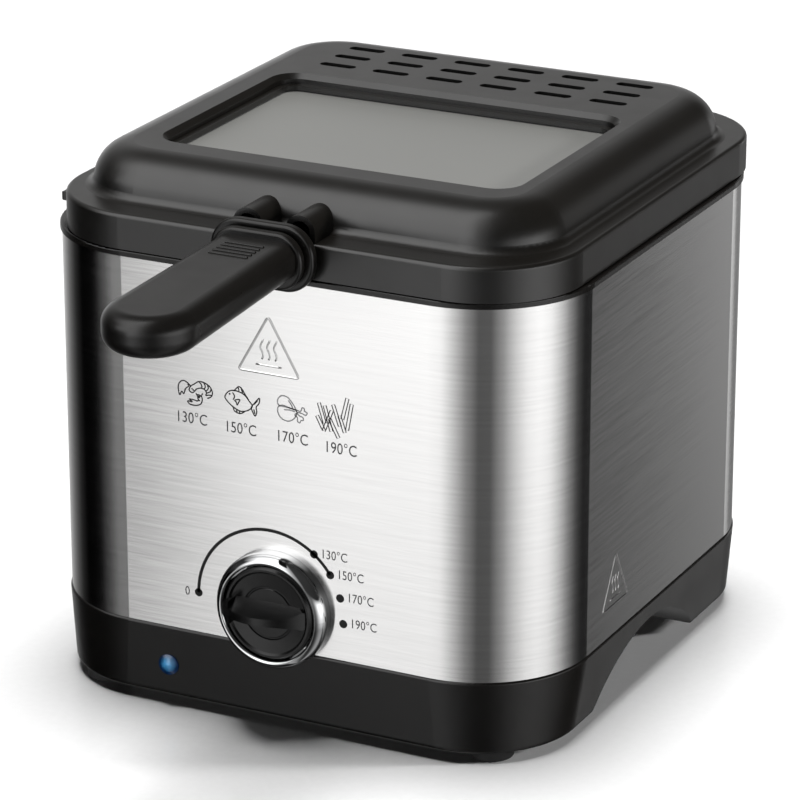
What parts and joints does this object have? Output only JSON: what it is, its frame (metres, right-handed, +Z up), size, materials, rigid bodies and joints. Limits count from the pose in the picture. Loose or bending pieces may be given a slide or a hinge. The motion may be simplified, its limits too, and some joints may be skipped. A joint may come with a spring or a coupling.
{
  "type": "deep fryer",
  "caption": "Compact household deep fryer: steel body on a black base, oil pot, wire basket with pull-off handle, windowed lift-off lid and thermostat knob.",
  "frame": {"origin": "on the plane that the feet stand on, under the middle of the whole fryer, handle included; the body's own centre is 52.6 mm behind it", "axes": "+Z up, -Y is the front with the knob and the handle, +X to the right of somebody who stands in front"},
  "size_m": [0.2216, 0.3368, 0.2164],
  "materials": {
    "base_plastic": "satin moulded black, fine grain",
    "lid_plastic": "satin moulded black",
    "handle_plastic": "satin moulded black",
    "knob_plastic": "glossy moulded black",
    "sleeve_steel": "brushed along the body's girth",
    "zinc_steel": "zinc-plated, slightly dull",
    "wire_steel": "bright drawn wire",
    "bezel_chrome": "polished",
    "pot_coating": "dark non-stick coating with fine flecks",
    "plate_aluminium": "cast, matte",
    "element_sheath": "dark oxidised sheath",
    "copper_line": "drawn copper",
    "inner_plastic": "heat-resistant ivory moulding",
    "fuse_ceramic": "plain white body",
    "lead_insulation": "pale silicone sleeving",
    "foot_rubber": "matte black",
    "seal_silicone": "dark silicone",
    "window_pane": "grey-tinted clear glass",
    "lens_blue": "clear blue lens, lit",
    "lamp_glass": "clear",
    "filter_foam": "open dark foam",
    "plate_foil": "blank matte foil"
  },
  "bodies": {
    "housing": {"base_tray": "base_plastic", "rubber_feet": "foot_rubber", "base_screws": "zinc_steel", "tie_rods": "zinc_steel", "steel_sleeve": "sleeve_steel", "seam_strip": "sleeve_steel", "top_rim": "base_plastic", "oil_pot": "pot_coating", "heater_plate": "plate_aluminium", "heating_element": "element_sheath", "element_clamps": "zinc_steel", "heat_shield": "zinc_steel", "shield_clips": "zinc_steel", "thermal_fuse": "fuse_ceramic", "fuse_clip": "zinc_steel", "thermostat_bracket": "zinc_steel", "thermostat_body": "inner_plastic", "thermostat_nut": "zinc_steel", "thermostat_screws": "zinc_steel", "capillary_bulb": "copper_line", "bulb_clips": "zinc_steel", "terminal_block": "inner_plastic", "terminal_screws": "zinc_steel", "internal_leads": "lead_insulation", "indicator_lens": "lens_blue", "lamp_holder": "inner_plastic", "indicator_lamp": "lamp_glass", "knob_bezel": "bezel_chrome", "cord_gland": "base_plastic", "gland_nut": "base_plastic", "rating_plate": "plate_foil"},
    "knob": {"control_knob": "knob_plastic", "control_shaft": "element_sheath"},
    "basket": {"basket_mesh": "wire_steel", "basket_rim": "wire_steel", "basket_frame": "wire_steel", "basket_bracket": "wire_steel", "bracket_rivets": "wire_steel"},
    "handle": {"handle_prongs": "wire_steel", "handle_collar": "handle_plastic", "handle_grip": "handle_plastic", "grip_cover": "handle_plastic", "grip_screws": "zinc_steel"},
    "lid": {"lid_shell": "lid_plastic", "window_gasket": "seal_silicone", "window_glass": "window_pane", "window_retainer": "zinc_steel", "retainer_screws": "zinc_steel", "filter_pad": "filter_foam", "filter_cover": "lid_plastic"}
  },
  "joints": [
    {"name": "knob_turn", "type": "hinge", "parent": "housing", "child": "knob", "pos_m": [0, -0.0607, 0.0505], "axis": [0, 1, 0], "range_deg": [0, 182]},
    {"name": "basket_lift", "type": "slide", "parent": "housing", "child": "basket", "axis": [0, 0, 1], "range_m": [0, 0.12]},
    {"name": "lid_lift", "type": "slide", "parent": "basket", "child": "lid", "axis": [0, 0, 1], "range_m": [0, 0.12]},
    {"name": "handle_pull", "type": "slide", "parent": "basket", "child": "handle", "axis": [0, -1, 0], "range_m": [0, 0.055]}
  ]
}
